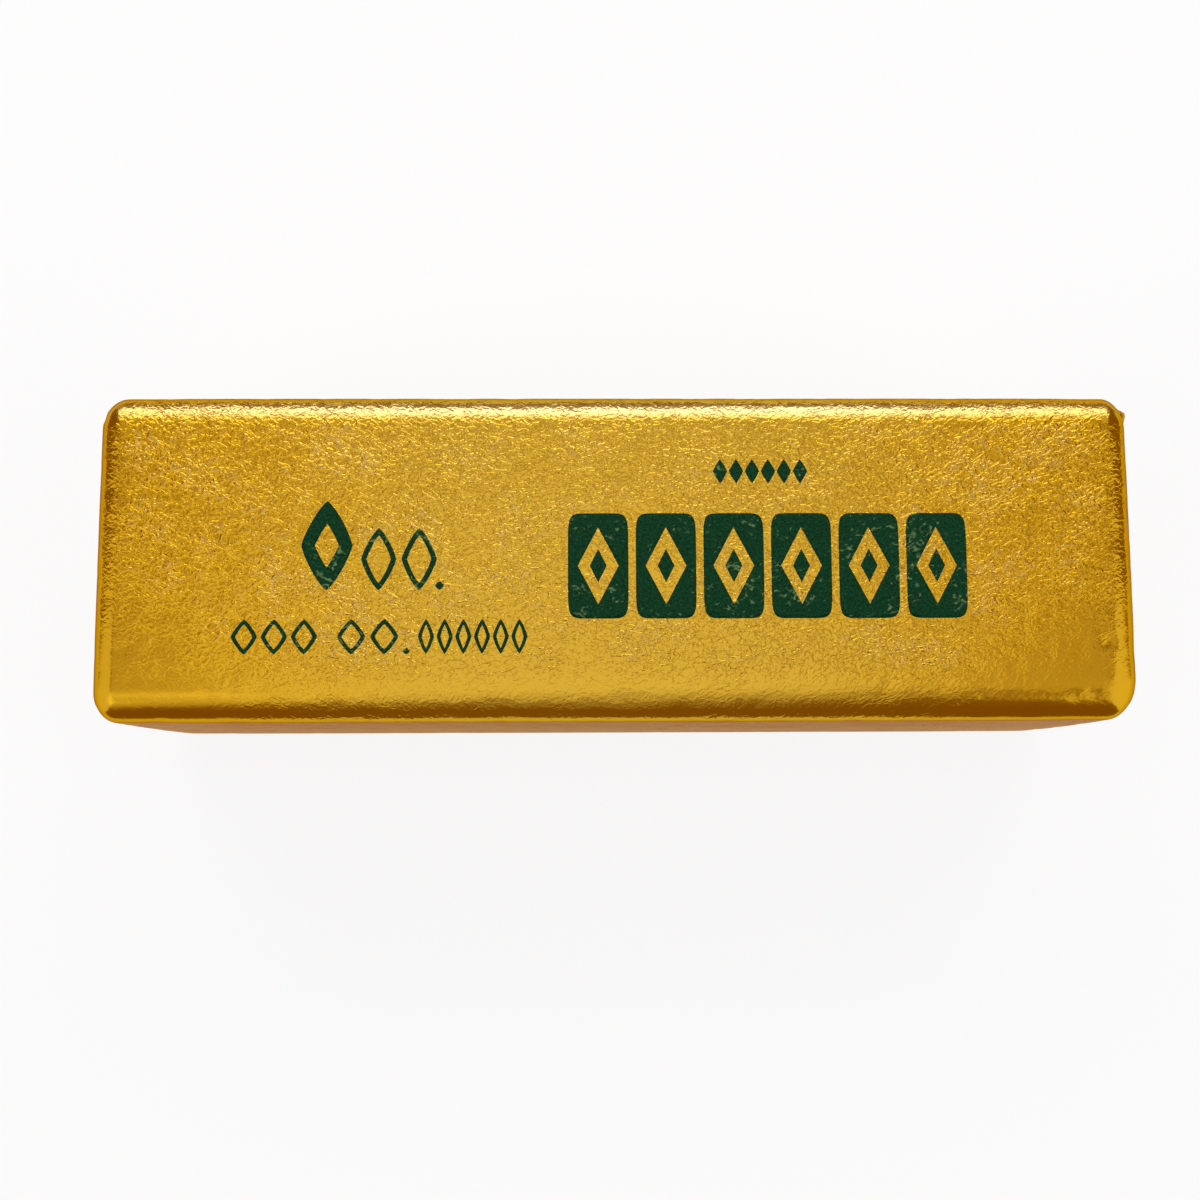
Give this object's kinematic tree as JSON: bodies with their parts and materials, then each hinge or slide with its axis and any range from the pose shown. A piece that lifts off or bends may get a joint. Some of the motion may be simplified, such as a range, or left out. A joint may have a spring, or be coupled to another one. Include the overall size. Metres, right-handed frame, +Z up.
{
  "type": "foil-wrapped butter block",
  "caption": "Oblong block of butter shut in gold foil, with soft edges, a printed label face and parcel folds at both ends; it lies flat on its long back.",
  "frame": {"origin": "middle of the base, on the surface that the block lies on", "axes": "+X along the block, to the right as the label is read; +Y to the top of the label; +Z up, out of the label face"},
  "size_m": [0.106, 0.0338, 0.0338],
  "materials": {
    "gold_foil": "crinkled gold-lacquered aluminium foil, satin",
    "green_ink": "dark green printing ink on foil, semi-gloss"
  },
  "bodies": {
    "root": {"wrapped_block": "gold_foil"}
  },
  "joints": []
}
